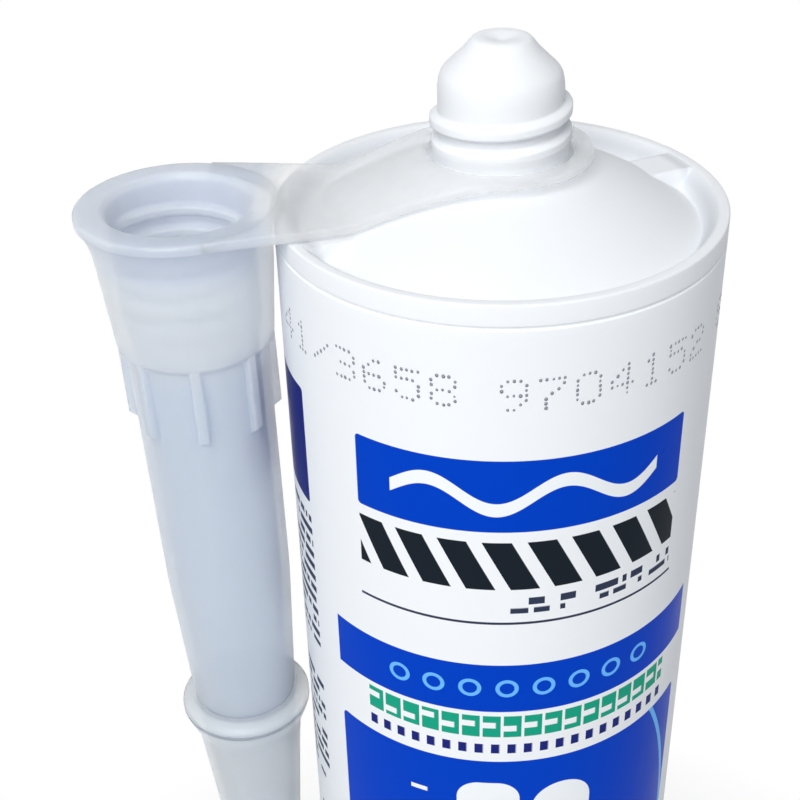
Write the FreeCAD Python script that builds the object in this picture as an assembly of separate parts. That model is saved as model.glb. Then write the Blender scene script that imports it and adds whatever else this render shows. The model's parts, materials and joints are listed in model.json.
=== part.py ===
"""Sealant cartridge with its nozzle hanging beside the barrel from a moulded strap.

The barrel stands on its rear rim. The origin is the centre of that rim, +Z runs up the barrel to
the neck, and the nozzle hangs on the -X side. All lengths are in millimetres.
"""
import FreeCAD, Part
import math
import os

# Barrel: one moulding of tube, head and threaded neck
BARREL_OUTER_R = 25.0
BARREL_WALL = 1.5
BARREL_LENGTH = 215.0
LEAD_IN_LENGTH = 8.0
LEAD_IN_STEP = 0.3
REAR_EDGE_CHAMFER = 0.4

# Front rim and the domed head inside it
RIM_LAND = 1.2
RIM_DEPTH = 2.6
RIM_WALL_AT_DOME = 2.8
RIM_LINE_DROP = 2.4
RIM_LINE_HEIGHT = 0.35
RIM_LINE_DEPTH = 0.15
DOME_RISE = 7.0
DOME_BULGE = 0.7
HEAD_WALL = 1.6

# Two keys that bridge the dome and the rim
KEY_INNER_R = 17.4
KEY_WIDTH = 5.0
KEY_TOP_DROP = 0.1
KEY_AZIMUTH = 20.0

# Neck, closed at its tip
NECK_FOOT_R = 7.4
NECK_FOOT_HEIGHT = 3.0
NECK_ROOT_R = 6.75
NECK_ROOT_HEIGHT = 5.6
NECK_SHOULDER_R = 6.5
NECK_SHOULDER_HEIGHT = 1.5
NECK_NIPPLE_R = 4.1
NECK_NIPPLE_DROP = 2.3
NECK_TIP_R = 3.05
NECK_TIP_HEIGHT = 1.3
NECK_DIMPLE_R = 1.9
NECK_DIMPLE_DEPTH = 0.5
NECK_BORE_R = 4.6
NECK_TIP_WALL = 1.9

# Thread of the neck and of the nozzle's socket, right-handed
THREAD_PITCH = 2.7
THREAD_CREST_R = 7.65
THREAD_CREST_WIDTH = 0.7
THREAD_BASE_WIDTH = 1.9
THREAD_TURNS = 2.0
THREAD_TOP_DROP = 1.0
THREAD_TOP_AZIMUTH = 172.0
THREAD_ROOTED = 0.25

# Piston, a cup with two sealing lips
PISTON_RUNNING_GAP = 0.1
PISTON_LENGTH = 19.5
PISTON_LIP_HEIGHT = 2.6
PISTON_LIP_STEP = 0.8
PISTON_LIP_SLOPE = 0.6
PISTON_WALL = 1.8
PISTON_ROOF = 2.2
PISTON_CROWN_RISE = 4.0
PISTON_CROWN_R = 6.0

# Sealant between piston and head
FILL_WALL_GAP = 0.05
FILL_PISTON_GAP = 0.3

# Ring around the neck and the strap that carries the nozzle
RING_NECK_GAP = 0.35
RING_WIDTH = 2.2
RING_FOOT_GAP = 0.6
STRAP_THICKNESS = 1.1
STRAP_RIM_GAP = 0.3
STRAP_FOLD_MARGIN = 1.5
STRAP_FOLD_OUT_R = 18.6
STRAP_WAIST_R = 17.0
STRAP_WAIST_HALF_WIDTH = 8.4

# Nozzle: drops are measured down its axis from the front rim's plane
NOZZLE_DISTANCE = 35.2
NOZZLE_BARREL_GAP = 0.3
FLANGE_R = 11.4
FLARE_TOP_R = 11.0
FLARE_MIDDLE_R = 10.2
FLARE_DROP = 4.5
SOCKET_TOP_R = 9.9
SOCKET_BOTTOM_R = 9.05
SOCKET_BOTTOM_DROP = 14.9
SOCKET_STEP = 0.9
SOCKET_BORE_DROP = 12.2
SOCKET_BORE_GAP = 0.2
SOCKET_THREAD_GAP = 0.25
SOCKET_THREAD_DROP = 2.2
SOCKET_THREAD_TURNS = 3.0
SHANK_TOP_R = 8.2
SHANK_WAIST_R = 7.8
SHANK_WAIST_DROP = 50.0
SHANK_END_R = 6.85
SHANK_END_DROP = 68.5
TIP_R = 2.6
TIP_DROP = 118.0
NOZZLE_WALL = 1.1

# Ribs below the socket
RIB_COUNT = 8
RIB_WIDTH = 1.2
RIB_OUTER_R = 9.0
RIB_END_DROP = 25.2
RIB_PHASE = 2.0

# Cap on the nozzle's tip
CAP_FIT_GAP = 0.2
CAP_MOUTH_DROP = 69.6
CAP_MOUTH_LAND = 0.25
CAP_BEAD_R = 8.6
CAP_BEAD_SLOPE_HEIGHT = 2.0
CAP_BEAD_LAND = 0.8
CAP_BEAD_CURVE_HEIGHT = 3.2
CAP_BODY_TOP_R = 7.15
CAP_END_R = 3.2
CAP_END_DROP = 124.0
CAP_END_ROUND = 1.0
CAP_END_WALL = 1.2

# Heights and radii worked out from the sizes above
BORE_R = BARREL_OUTER_R - BARREL_WALL
LEAD_IN_R = BORE_R + LEAD_IN_STEP
RIM_TOP_Z = BARREL_LENGTH
DOME_FOOT_R = BARREL_OUTER_R - RIM_WALL_AT_DOME
DOME_FOOT_Z = RIM_TOP_Z - RIM_DEPTH
DOME_TOP_Z = DOME_FOOT_Z + DOME_RISE
NECK_ROOT_Z = DOME_TOP_Z + NECK_FOOT_HEIGHT
NECK_ROOT_TOP_Z = NECK_ROOT_Z + NECK_ROOT_HEIGHT
NECK_SHOULDER_Z = NECK_ROOT_TOP_Z + NECK_SHOULDER_HEIGHT
NECK_NIPPLE_Z = NECK_SHOULDER_Z + NECK_NIPPLE_DROP
NECK_TIP_Z = NECK_NIPPLE_Z + NECK_TIP_HEIGHT
HEAD_INSIDE_Z = DOME_FOOT_Z - HEAD_WALL
NECK_BORE_Z = HEAD_INSIDE_Z + DOME_RISE + HEAD_WALL / 2
NECK_BORE_TOP_Z = NECK_TIP_Z - NECK_TIP_WALL - NECK_DIMPLE_DEPTH

PISTON_R = BORE_R - PISTON_RUNNING_GAP
PISTON_REAR_Z = LEAD_IN_LENGTH
PISTON_FRONT_Z = PISTON_REAR_Z + PISTON_LENGTH
PISTON_CROWN_Z = PISTON_FRONT_Z + PISTON_CROWN_RISE
PISTON_SHOULDER_R = PISTON_R - PISTON_LIP_STEP

RING_INNER_R = THREAD_CREST_R + RING_NECK_GAP
RING_OUTER_R = RING_INNER_R + RING_WIDTH
RING_UNDER_Z = DOME_TOP_Z + RING_FOOT_GAP
STRAP_UNDER_Z = RIM_TOP_Z + STRAP_RIM_GAP
STRAP_TOP_Z = STRAP_UNDER_Z + STRAP_THICKNESS

CAP_BEAD_DROP = CAP_MOUTH_DROP + CAP_BEAD_SLOPE_HEIGHT + CAP_BEAD_LAND / 2
CAP_BODY_DROP = (CAP_MOUTH_DROP + CAP_BEAD_SLOPE_HEIGHT + CAP_BEAD_LAND
                 + CAP_BEAD_CURVE_HEIGHT)
BEAD_DISTANCE = BARREL_OUTER_R + NOZZLE_BARREL_GAP + CAP_BEAD_R
NOZZLE_LEAN = math.degrees(math.atan2(NOZZLE_DISTANCE - BEAD_DISTANCE, CAP_BEAD_DROP))
SOCKET_BORE_R = THREAD_CREST_R + SOCKET_BORE_GAP
SOCKET_THREAD_CREST_R = NECK_ROOT_R + SOCKET_THREAD_GAP

FULL_TURN = 360.0
Z_AXIS = FreeCAD.Vector(0, 0, 1)
Y_AXIS = FreeCAD.Vector(0, 1, 0)
ORIGIN = FreeCAD.Vector(0, 0, 0)


def at(radius, height):
    """A point of a profile that is turned about the Z axis."""
    return FreeCAD.Vector(radius, 0, height)


def line(start, end):
    """A straight edge between two (radius, height) points."""
    return Part.LineSegment(at(*start), at(*end)).toShape()


def chain(points):
    """Straight edges through (radius, height) points in order."""
    return [line(a, b) for a, b in zip(points, points[1:])]


def bulged(start, end, bulge):
    """An arc between two points that stands off its chord by the bulge, to the chord's left."""
    run = end[0] - start[0]
    rise = end[1] - start[1]
    length = math.hypot(run, rise)
    middle = ((start[0] + end[0]) / 2 - rise / length * bulge,
              (start[1] + end[1]) / 2 + run / length * bulge)
    return Part.Arc(at(*start), at(*middle), at(*end)).toShape()


def turned(edges):
    """A solid turned about the Z axis from a closed list of edges."""
    face = Part.Face(Part.Wire(Part.__sortEdges__(edges)))
    return face.revolve(ORIGIN, Z_AXIS, FULL_TURN)


def disc(radius, low, high, centre_x=0.0):
    """An upright cylinder between two heights."""
    return Part.makeCylinder(radius, high - low, FreeCAD.Vector(centre_x, 0, low))


def thread_ridge(root_r, crest_r, top_z, turns, top_azimuth):
    """A right-handed helical ridge from the root radius to the crest radius.

    The crest lies outside the root on the neck and inside it in the socket. The ridge starts a
    little inside the wall that carries it.
    """
    outward = 1 if crest_r > root_r else -1
    base_r = root_r - outward * THREAD_ROOTED
    height = turns * THREAD_PITCH
    start_z = top_z - height
    path = Part.makeHelix(THREAD_PITCH, height, root_r)
    half_base = THREAD_BASE_WIDTH / 2
    half_crest = THREAD_CREST_WIDTH / 2
    corners = [(base_r, -half_base), (crest_r, -half_crest), (crest_r, half_crest),
               (base_r, half_base), (base_r, -half_base)]
    section = Part.Wire(chain(corners))
    ridge = Part.Wire(path.Edges).makePipeShell([section], True, True)
    ridge.rotate(ORIGIN, Z_AXIS, top_azimuth - turns * FULL_TURN)
    ridge.translate(FreeCAD.Vector(0, 0, start_z))
    return ridge


def head_inside(wall_gap):
    """Edges of the inner surface of head and neck, from the bore up to the axis."""
    bore_r = BORE_R - wall_gap
    neck_r = NECK_BORE_R - wall_gap
    corner = (bore_r, HEAD_INSIDE_Z - wall_gap)
    neck_foot = (neck_r, NECK_BORE_Z - wall_gap)
    top = NECK_BORE_TOP_Z - wall_gap
    cone_foot = (neck_r, top - (neck_r - NECK_DIMPLE_R))
    edges = [bulged(corner, neck_foot, -DOME_BULGE)]
    edges += chain([neck_foot, cone_foot, (NECK_DIMPLE_R, top), (0, top)])
    return corner, edges


def head_space():
    """The room inside the barrel from the lead-in up to the neck's closed end."""
    corner, top = head_inside(0.0)
    lower = chain([corner, (BORE_R, LEAD_IN_LENGTH), (0, LEAD_IN_LENGTH),
                   (0, NECK_BORE_TOP_Z)])
    return turned(lower + top)


def barrel_profile():
    """Half section of the barrel: tube, rim, dome and closed neck."""
    corner, inside = head_inside(0.0)
    line_low = RIM_TOP_Z - RIM_LINE_DROP - RIM_LINE_HEIGHT
    line_high = RIM_TOP_Z - RIM_LINE_DROP
    line_r = BARREL_OUTER_R - RIM_LINE_DEPTH
    chamfer = REAR_EDGE_CHAMFER
    outside = chain([
        corner,
        (BORE_R, LEAD_IN_LENGTH),
        (LEAD_IN_R, LEAD_IN_LENGTH - LEAD_IN_STEP),
        (LEAD_IN_R, 0),
        (BARREL_OUTER_R - chamfer, 0),
        (BARREL_OUTER_R, chamfer),
        (BARREL_OUTER_R, line_low),
        (line_r, line_low),
        (line_r, line_high),
        (BARREL_OUTER_R, line_high),
        (BARREL_OUTER_R, RIM_TOP_Z),
        (BARREL_OUTER_R - RIM_LAND, RIM_TOP_Z),
        (DOME_FOOT_R, DOME_FOOT_Z),
    ])
    dome = bulged((DOME_FOOT_R, DOME_FOOT_Z), (NECK_FOOT_R, DOME_TOP_Z), -DOME_BULGE)
    neck = chain([
        (NECK_FOOT_R, DOME_TOP_Z),
        (NECK_FOOT_R, NECK_ROOT_Z),
        (NECK_ROOT_R, NECK_ROOT_Z),
        (NECK_ROOT_R, NECK_ROOT_TOP_Z),
        (NECK_SHOULDER_R, NECK_SHOULDER_Z),
        (NECK_NIPPLE_R, NECK_NIPPLE_Z),
        (NECK_TIP_R, NECK_TIP_Z),
        (NECK_DIMPLE_R, NECK_TIP_Z),
        (0, NECK_TIP_Z - NECK_DIMPLE_DEPTH),
        (0, NECK_BORE_TOP_Z),
    ])
    return inside + outside + [dome] + neck


def rim_key(azimuth):
    """A block on the dome, out to the rim's inner wall and just under the rim's top."""
    outer_r = BARREL_OUTER_R - RIM_LAND / 2
    low = DOME_FOOT_Z - HEAD_WALL / 2
    high = RIM_TOP_Z - KEY_TOP_DROP
    block = Part.makeBox(outer_r - KEY_INNER_R, KEY_WIDTH, high - low,
                         FreeCAD.Vector(KEY_INNER_R, -KEY_WIDTH / 2, low))
    block.rotate(ORIGIN, Z_AXIS, azimuth)
    return block.cut(head_space())


def make_barrel():
    """Tube, head, keys and threaded neck in one moulding."""
    body = turned(barrel_profile())
    keys = [rim_key(KEY_AZIMUTH), rim_key(KEY_AZIMUTH + FULL_TURN / 2)]
    thread = thread_ridge(NECK_ROOT_R, THREAD_CREST_R, NECK_ROOT_TOP_Z - THREAD_TOP_DROP,
                          THREAD_TURNS, THREAD_TOP_AZIMUTH)
    return body.fuse(keys + [thread]).removeSplitter()


def piston_crown(lift):
    """The crown's shoulder and flat, from outside in, raised along the axis by the lift."""
    return [(PISTON_SHOULDER_R, PISTON_FRONT_Z + lift),
            (PISTON_CROWN_R, PISTON_CROWN_Z + lift),
            (0, PISTON_CROWN_Z + lift)]


def make_piston():
    """A cup, open to the rear, with a sealing lip at each end of its skirt."""
    relief_r = PISTON_R - PISTON_LIP_STEP
    cup_r = relief_r - PISTON_WALL
    rear_lip_z = PISTON_REAR_Z + PISTON_LIP_HEIGHT
    front_lip_z = PISTON_FRONT_Z - PISTON_LIP_HEIGHT
    roof_z = PISTON_FRONT_Z - PISTON_ROOF
    outside = [
        (cup_r, PISTON_REAR_Z),
        (PISTON_R, PISTON_REAR_Z),
        (PISTON_R, rear_lip_z),
        (relief_r, rear_lip_z + PISTON_LIP_SLOPE),
        (relief_r, front_lip_z - PISTON_LIP_SLOPE),
        (PISTON_R, front_lip_z),
        (PISTON_R, PISTON_FRONT_Z - PISTON_LIP_SLOPE),
    ]
    inside = [
        (0, PISTON_CROWN_Z - PISTON_ROOF),
        (PISTON_CROWN_R, PISTON_CROWN_Z - PISTON_ROOF),
        (cup_r, roof_z),
        (cup_r, PISTON_REAR_Z),
    ]
    return turned(chain(outside + piston_crown(0.0) + inside))


def make_sealant():
    """The fill between the piston's crown and the head, up into the closed neck."""
    corner, top = head_inside(FILL_WALL_GAP)
    crown = piston_crown(FILL_PISTON_GAP)
    rear_edge = (corner[0], crown[0][1])
    top_z = NECK_BORE_TOP_Z - FILL_WALL_GAP
    lower = chain([corner, rear_edge] + crown + [(0, top_z)])
    return turned(lower + top)


def tangent_point(centre_x, radius, outside_point, side):
    """Where a tangent from a point meets a circle centred on the X axis.

    The side is +1 for the tangent that turns anticlockwise from the point's direction.
    """
    run = outside_point[0] - centre_x
    rise = outside_point[1]
    half_angle = math.acos(radius / math.hypot(run, rise))
    angle = math.atan2(rise, run) + side * half_angle
    return (centre_x + radius * math.cos(angle), radius * math.sin(angle))


def strap_plan():
    """Plan of ring, strap and flange: two discs joined by a waisted band."""
    waist = (-STRAP_WAIST_R, STRAP_WAIST_HALF_WIDTH)
    at_ring = tangent_point(0.0, RING_OUTER_R, waist, -1)
    at_flange = tangent_point(-NOZZLE_DISTANCE, FLANGE_R, waist, 1)
    upper = [at_ring, waist, at_flange]
    lower = [(x, -y) for x, y in reversed(upper)]
    outline = [FreeCAD.Vector(x, y, 0) for x, y in upper + lower + [at_ring]]
    low = RIM_TOP_Z - RIM_DEPTH
    high = RING_UNDER_Z + 2 * STRAP_THICKNESS
    band = Part.Face(Part.makePolygon(outline)).extrude(FreeCAD.Vector(0, 0, high - low))
    band.translate(FreeCAD.Vector(0, 0, low))
    ring = disc(RING_OUTER_R, low, high)
    flange = disc(FLANGE_R, low, high, -NOZZLE_DISTANCE)
    return band.fuse([ring, flange])


def strap_sheet():
    """The folded sheet: level at the ring, down along the dome, level again over the rim.

    It is turned about the neck, so the ring can swing round the dome in any direction.
    """
    fold_in = RING_INNER_R + STRAP_FOLD_MARGIN
    fold_out = STRAP_FOLD_OUT_R
    far = NOZZLE_DISTANCE + 2 * FLANGE_R
    ring_top_z = RING_UNDER_Z + STRAP_THICKNESS
    slope = math.atan2(RING_UNDER_Z - STRAP_UNDER_Z, fold_out - fold_in)
    shift = STRAP_THICKNESS * math.tan(slope / 2)
    return turned(chain([
        (0, RING_UNDER_Z),
        (fold_in, RING_UNDER_Z),
        (fold_out, STRAP_UNDER_Z),
        (far, STRAP_UNDER_Z),
        (far, STRAP_TOP_Z),
        (fold_out + shift, STRAP_TOP_Z),
        (fold_in + shift, ring_top_z),
        (0, ring_top_z),
        (0, RING_UNDER_Z),
    ]))


def hung(shape):
    """Move a piece from its own upright axis to the nozzle's leaning one.

    In its own frame a piece has the front rim's plane at height 0 and hangs down from it.
    """
    shape.rotate(ORIGIN, Y_AXIS, -NOZZLE_LEAN)
    shape.translate(FreeCAD.Vector(-NOZZLE_DISTANCE, 0, RIM_TOP_Z))
    return shape


def shank_outline(offset):
    """The nozzle's taper below its socket, with the radius changed by the offset."""
    return [(SHANK_TOP_R + offset, -(SOCKET_BOTTOM_DROP + SOCKET_STEP)),
            (SHANK_WAIST_R + offset, -SHANK_WAIST_DROP),
            (SHANK_END_R + offset, -SHANK_END_DROP),
            (TIP_R + offset, -TIP_DROP)]


def nozzle_outside():
    """Flare, socket and taper as one turned solid, topped inside the flange."""
    top_z = STRAP_RIM_GAP + STRAP_THICKNESS / 2
    flare = Part.Arc(at(FLARE_TOP_R, 0), at(FLARE_MIDDLE_R, -FLARE_DROP / 2),
                     at(SOCKET_TOP_R, -FLARE_DROP)).toShape()
    above = chain([(0, top_z), (FLARE_TOP_R, top_z), (FLARE_TOP_R, 0)])
    socket = [(SOCKET_TOP_R, -FLARE_DROP), (SOCKET_BOTTOM_R, -SOCKET_BOTTOM_DROP)]
    below = chain(socket + shank_outline(0.0) + [(0, -TIP_DROP), (0, top_z)])
    return turned(above + [flare] + below)


def nozzle_bore():
    """The socket's bore and the tapered channel, one wall inside the taper."""
    above = STRAP_RIM_GAP + 2 * STRAP_THICKNESS
    channel = shank_outline(-NOZZLE_WALL)
    outlet = (TIP_R - NOZZLE_WALL, -TIP_DROP - NOZZLE_WALL)
    points = [(0, above), (SOCKET_BORE_R, above), (SOCKET_BORE_R, -SOCKET_BORE_DROP)]
    return turned(chain(points + channel + [outlet, (0, outlet[1]), (0, above)]))


def nozzle_rib(index):
    """One short rib under the socket, its outer lower corner cut on a slope."""
    top = -(SOCKET_BOTTOM_DROP - SOCKET_STEP)
    inner_r = SHANK_WAIST_R - NOZZLE_WALL / 2
    slope = RIB_OUTER_R - SHANK_WAIST_R
    corners = [(inner_r, top), (RIB_OUTER_R, top), (RIB_OUTER_R, slope - RIB_END_DROP),
               (SHANK_WAIST_R, -RIB_END_DROP), (inner_r, -RIB_END_DROP), (inner_r, top)]
    face = Part.Face(Part.Wire(chain(corners)))
    rib = face.extrude(FreeCAD.Vector(0, RIB_WIDTH, 0))
    rib.translate(FreeCAD.Vector(0, -RIB_WIDTH / 2, 0))
    rib.rotate(ORIGIN, Z_AXIS, RIB_PHASE + index * FULL_TURN / RIB_COUNT)
    return rib


def make_nozzle():
    """Ring, strap, flange, socket, ribs and taper in one moulding."""
    ribs = [nozzle_rib(i) for i in range(RIB_COUNT)]
    hanging = hung(nozzle_outside().fuse(ribs))
    rim_space = disc(BARREL_OUTER_R + NOZZLE_BARREL_GAP, 0, STRAP_UNDER_Z)
    hanging = hanging.cut(rim_space)
    sheet = strap_sheet().common(strap_plan())
    thread = thread_ridge(SOCKET_BORE_R, SOCKET_THREAD_CREST_R, -SOCKET_THREAD_DROP,
                          SOCKET_THREAD_TURNS, THREAD_TOP_AZIMUTH)
    neck_hole = disc(RING_INNER_R, DOME_FOOT_Z, NECK_TIP_Z)
    moulding = sheet.fuse(hanging).cut([hung(nozzle_bore()), neck_hole])
    return moulding.removeSplitter().fuse(hung(thread))


def make_nozzle_cap():
    """A tapered cap with a beaded mouth, fitted over the nozzle's tip."""
    slope = (SHANK_END_R - TIP_R) / (TIP_DROP - SHANK_END_DROP)
    inside_end_drop = CAP_END_DROP - CAP_END_WALL
    mouth_r = SHANK_END_R - slope * (CAP_MOUTH_DROP - SHANK_END_DROP) + CAP_FIT_GAP
    tip_r = TIP_R + CAP_FIT_GAP
    bead_top = -(CAP_MOUTH_DROP + CAP_BEAD_SLOPE_HEIGHT)
    bead_low = bead_top - CAP_BEAD_LAND
    round_z = CAP_END_ROUND - CAP_END_DROP
    inside = chain([(0, -inside_end_drop), (tip_r, -inside_end_drop), (tip_r, -TIP_DROP),
                    (mouth_r, -CAP_MOUTH_DROP), (mouth_r + CAP_MOUTH_LAND, -CAP_MOUTH_DROP),
                    (CAP_BEAD_R, bead_top), (CAP_BEAD_R, bead_low)])
    bead = bulged((CAP_BEAD_R, bead_low), (CAP_BODY_TOP_R, -CAP_BODY_DROP),
                  (CAP_BEAD_R - CAP_BODY_TOP_R) / 4)
    outside = chain([(CAP_BODY_TOP_R, -CAP_BODY_DROP), (CAP_END_R, round_z),
                     (CAP_END_R - CAP_END_ROUND, -CAP_END_DROP), (0, -CAP_END_DROP),
                     (0, -inside_end_drop)])
    return hung(turned(inside + [bead] + outside))


def main():
    """Build each node and write it to its own file."""
    os.makedirs("parts", exist_ok=True)
    nodes = {
        "barrel": make_barrel(),
        "piston": make_piston(),
        "sealant": make_sealant(),
        "nozzle": make_nozzle(),
        "nozzle_cap": make_nozzle_cap(),
    }
    for name, shape in nodes.items():
        shape.exportStep(os.path.join("parts", name + ".step"))
        box = shape.BoundBox
        print(name, "valid", shape.isValid(), "solids", len(shape.Solids),
              "volume", round(shape.Volume, 1), "z", round(box.ZMin, 2), round(box.ZMax, 2))


main()
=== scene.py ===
"""A printed sealant cartridge with its nozzle hanging beside it from a moulded strap.

The shapes are surfaces worked out with numpy in millimetres and turned into metres when a mesh is
made. Heights run up the barrel's axis from its rear rim, and drops run down from the front rim.
"""

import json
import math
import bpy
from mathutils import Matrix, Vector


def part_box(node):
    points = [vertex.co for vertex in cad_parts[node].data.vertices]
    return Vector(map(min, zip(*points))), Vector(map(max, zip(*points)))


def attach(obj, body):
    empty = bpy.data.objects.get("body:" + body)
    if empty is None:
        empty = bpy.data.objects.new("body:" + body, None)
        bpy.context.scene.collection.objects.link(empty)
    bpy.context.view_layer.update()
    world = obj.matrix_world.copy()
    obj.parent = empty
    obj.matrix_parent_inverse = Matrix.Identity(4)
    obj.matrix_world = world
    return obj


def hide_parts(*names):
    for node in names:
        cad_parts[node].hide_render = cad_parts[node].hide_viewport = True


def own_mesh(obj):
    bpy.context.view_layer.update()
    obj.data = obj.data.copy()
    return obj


bl_info = {
    "name": "Sealant Cartridge",
    "version": (1, 0, 0),
    "blender": (4, 5, 0),
    "location": "View3D > Sidebar > Cartridge",
    "description": "Barrel with printed fields, threaded neck, strap, milky nozzle and cap",
    "category": "Add Mesh",
}

import bpy
import numpy as np
from mathutils import Matrix, Vector

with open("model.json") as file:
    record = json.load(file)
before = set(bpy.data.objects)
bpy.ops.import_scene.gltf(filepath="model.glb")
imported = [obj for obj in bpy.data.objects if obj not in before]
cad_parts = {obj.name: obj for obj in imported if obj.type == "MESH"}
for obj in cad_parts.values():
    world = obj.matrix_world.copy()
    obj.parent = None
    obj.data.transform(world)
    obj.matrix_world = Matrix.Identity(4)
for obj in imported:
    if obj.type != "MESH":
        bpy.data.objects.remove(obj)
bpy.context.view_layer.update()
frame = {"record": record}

MM = 0.001
FULL = 2 * math.pi
MOUNTS = {mount["name"]: mount for mount in frame["record"]["mounts"]}

# Barrel and head, taken from the frame where it states them
RIM_Z = MOUNTS["front_rim"]["pos_m"][2] / MM
BARREL_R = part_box("barrel")[1].x / MM
NECK_TIP_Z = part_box("barrel")[1].z / MM
THREAD_CREST_R = MOUNTS["neck_thread"]["dims"]["r_mm"]
LEAD_IN_R = MOUNTS["rear_bore"]["dims"]["r_mm"]
LEAD_IN_TOP = MOUNTS["rear_bore"]["dims"]["length_mm"]
BORE_R = 23.5
RIM_INNER_R = 23.8
DOME_FOOT_R = 22.2
DOME_FOOT_Z = RIM_Z - 2.6
DOME_TOP_Z = RIM_Z + 4.4
DOME_BULGE = 0.7
HEAD_WALL = 1.6
NECK_FOOT_R = 7.4
NECK_FOOT_TOP_Z = RIM_Z + 7.4
NECK_ROOT_R = 6.75
NECK_ROOT_TOP_Z = RIM_Z + 13.0
NECK_BORE_R = 4.6

# Thread, right-handed, on the neck and in the socket
THREAD_PITCH = 2.7
THREAD_BASE = 1.9
THREAD_CREST = 0.7
THREAD_TURNS = 2.0
THREAD_TOP_Z = NECK_ROOT_TOP_Z - 1.0
THREAD_TOP_ANGLE = math.radians(172)

# Keys between dome and rim
KEY_ANGLES = (math.radians(20), math.radians(200))
KEY_INNER_R = 17.4
KEY_HALF_WIDTH = 2.5
KEY_TOP_Z = RIM_Z - 0.1
KEY_SOFT = 0.18

# Ring and strap
RING_INNER_R = 8.0
RING_OUTER_R = 10.2
RING_UNDER_Z = RIM_Z + 5.0
STRAP_THICK = 1.1
STRAP_UNDER_Z = RIM_Z + 0.3
FOLD_IN_R = 9.5
FOLD_OUT_R = 18.6
WAIST = (-17.0, 8.4)

# Nozzle, cap and how they hang
NOZZLE_X = -35.2
LEAN = math.tan(math.radians(1.0344))
CLEAR_R = BARREL_R + 0.3
FLANGE_R = 11.4
FLARE_TOP_R = 11.0
FLARE_MIDDLE_R = 10.2
SOCKET_BORE_R = 7.85
SOCKET_THREAD_R = 7.0
RIB_COUNT = 8
RIB_PHASE = math.radians(2)
RIB_HALF_WIDTH = 0.6
RIB_R = 9.0
RIB_TOP = -14.0
RIB_END = -25.2
NOZZLE_WALL = 1.1
SHANK = ((8.2, -15.8), (7.8, -50.0), (6.85, -68.5), (2.6, -118.0))
CAP_MOUTH = -70.2
CAP_END = -124.0
FLUTES = 12
FLUTE_DEPTH = 0.07

# Piston cup, as corners of its outline: radius, height, cut and step
PISTON = (
    (0, 31.5, 0, 1), (6, 31.5, 0.5, 1.5), (22.6, 27.5, 0.5, 3), (23.4, 26.9, 0.15, 0.4),
    (23.4, 24.9, 0.15, 0.5), (22.6, 24.3, 0.2, 0.4), (22.6, 11.2, 0.2, 3),
    (23.4, 10.6, 0.15, 0.4), (23.4, 8.0, 0.2, 0.5), (20.8, 8.0, 0.4, 0.6),
    (20.8, 25.3, 1.2, 3), (6, 29.3, 1.0, 2), (0, 29.3, 0, 1.5),
)

# Sealant, and the inside of the neck that it reaches
FILL_GAP = 0.05
FILL_R = BORE_R - FILL_GAP
FILL_NECK_R = NECK_BORE_R - FILL_GAP
NECK_INSIDE_Z = NECK_TIP_Z - 2.4
NECK_TAPER_Z = NECK_TIP_Z - 5.1

# Print, as arc length from the front panel's middle and height over the front rim
BAND = (-24.7, 25.5, -53.6, -46.3)
PANEL = (-24.6, 24.9, -151.0, -61.8)
PANEL_ARC = (-23.9, -84.5, 48.4)
SIDE_COLUMNS = (
    (-62.0, -29.7, "navy", (-55.6, -80.8, -120.0, -168.0)),
    (31.0, 62.0, "green", (-58.0, -96.0, -132.0, -168.0)),
)
SIDE_HEAD = (-33.0, -17.3)
BLOCK_GAP = 5.7
FIGURE_PITCH = 3.85
DOT_SPACING = (0.62, 0.56)


def rgb(red, green, blue):
    """A linear colour from screen values between 0 and 255."""
    return tuple((c / 255 / 12.92) if c <= 10 else ((c / 255 + 0.055) / 1.055) ** 2.4
                 for c in (red, green, blue))


def smooth(low, high, x):
    """Cubic step from 0 at low to 1 at high."""
    t = np.clip((x - low) / (high - low), 0, 1)
    return t * t * (3 - 2 * t)


def trace(corners, round_steps=5):
    """An outline through corners (radius, height, cut, step).

    Each corner becomes a parabola that starts and ends one cut away from it. The straight run
    that leads to a corner is divided into pieces about one step long.
    """
    spots = [np.array(c[:2], float) for c in corners]
    out = [spots[0]]
    for i in range(1, len(spots)):
        cut, step = corners[i][2:]
        before = spots[i] - spots[i - 1]
        entry = spots[i] - before / np.linalg.norm(before) * cut
        pieces = max(1, round(float(np.linalg.norm(entry - out[-1])) / step))
        out.extend(np.linspace(out[-1], entry, pieces + 1)[1:])
        if cut > 0 and i + 1 < len(spots):
            after = spots[i + 1] - spots[i]
            leave = spots[i] + after / np.linalg.norm(after) * cut
            t = np.linspace(0, 1, round_steps + 1)[1:, None]
            out.extend((1 - t) ** 2 * entry + 2 * t * (1 - t) * spots[i] + t ** 2 * leave)
    return np.array(out)


def bowed(start, end, bulge, shares):
    """Points from start to end at the given shares, on a parabola that bows out by the bulge."""
    start, end = np.array(start, float), np.array(end, float)
    run = end - start
    normal = np.array([-run[1], run[0]]) / np.linalg.norm(run)
    t = np.asarray(shares, float)[:, None]
    return start + run * t + normal * bulge * 4 * t * (1 - t)


def mesh_piece(name, spots, faces, body, material):
    """A smooth mesh piece from points in millimetres and faces, riding on a body."""
    mesh = bpy.data.meshes.new(name)
    mesh.from_pydata((spots * MM).tolist(), [], faces)
    mesh.polygons.foreach_set("use_smooth", np.ones(len(mesh.polygons), bool))
    mesh.materials.append(material)
    mesh.update()
    piece = bpy.data.objects.new(name, mesh)
    bpy.context.scene.collection.objects.link(piece)
    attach(piece, body)
    return piece


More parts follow.
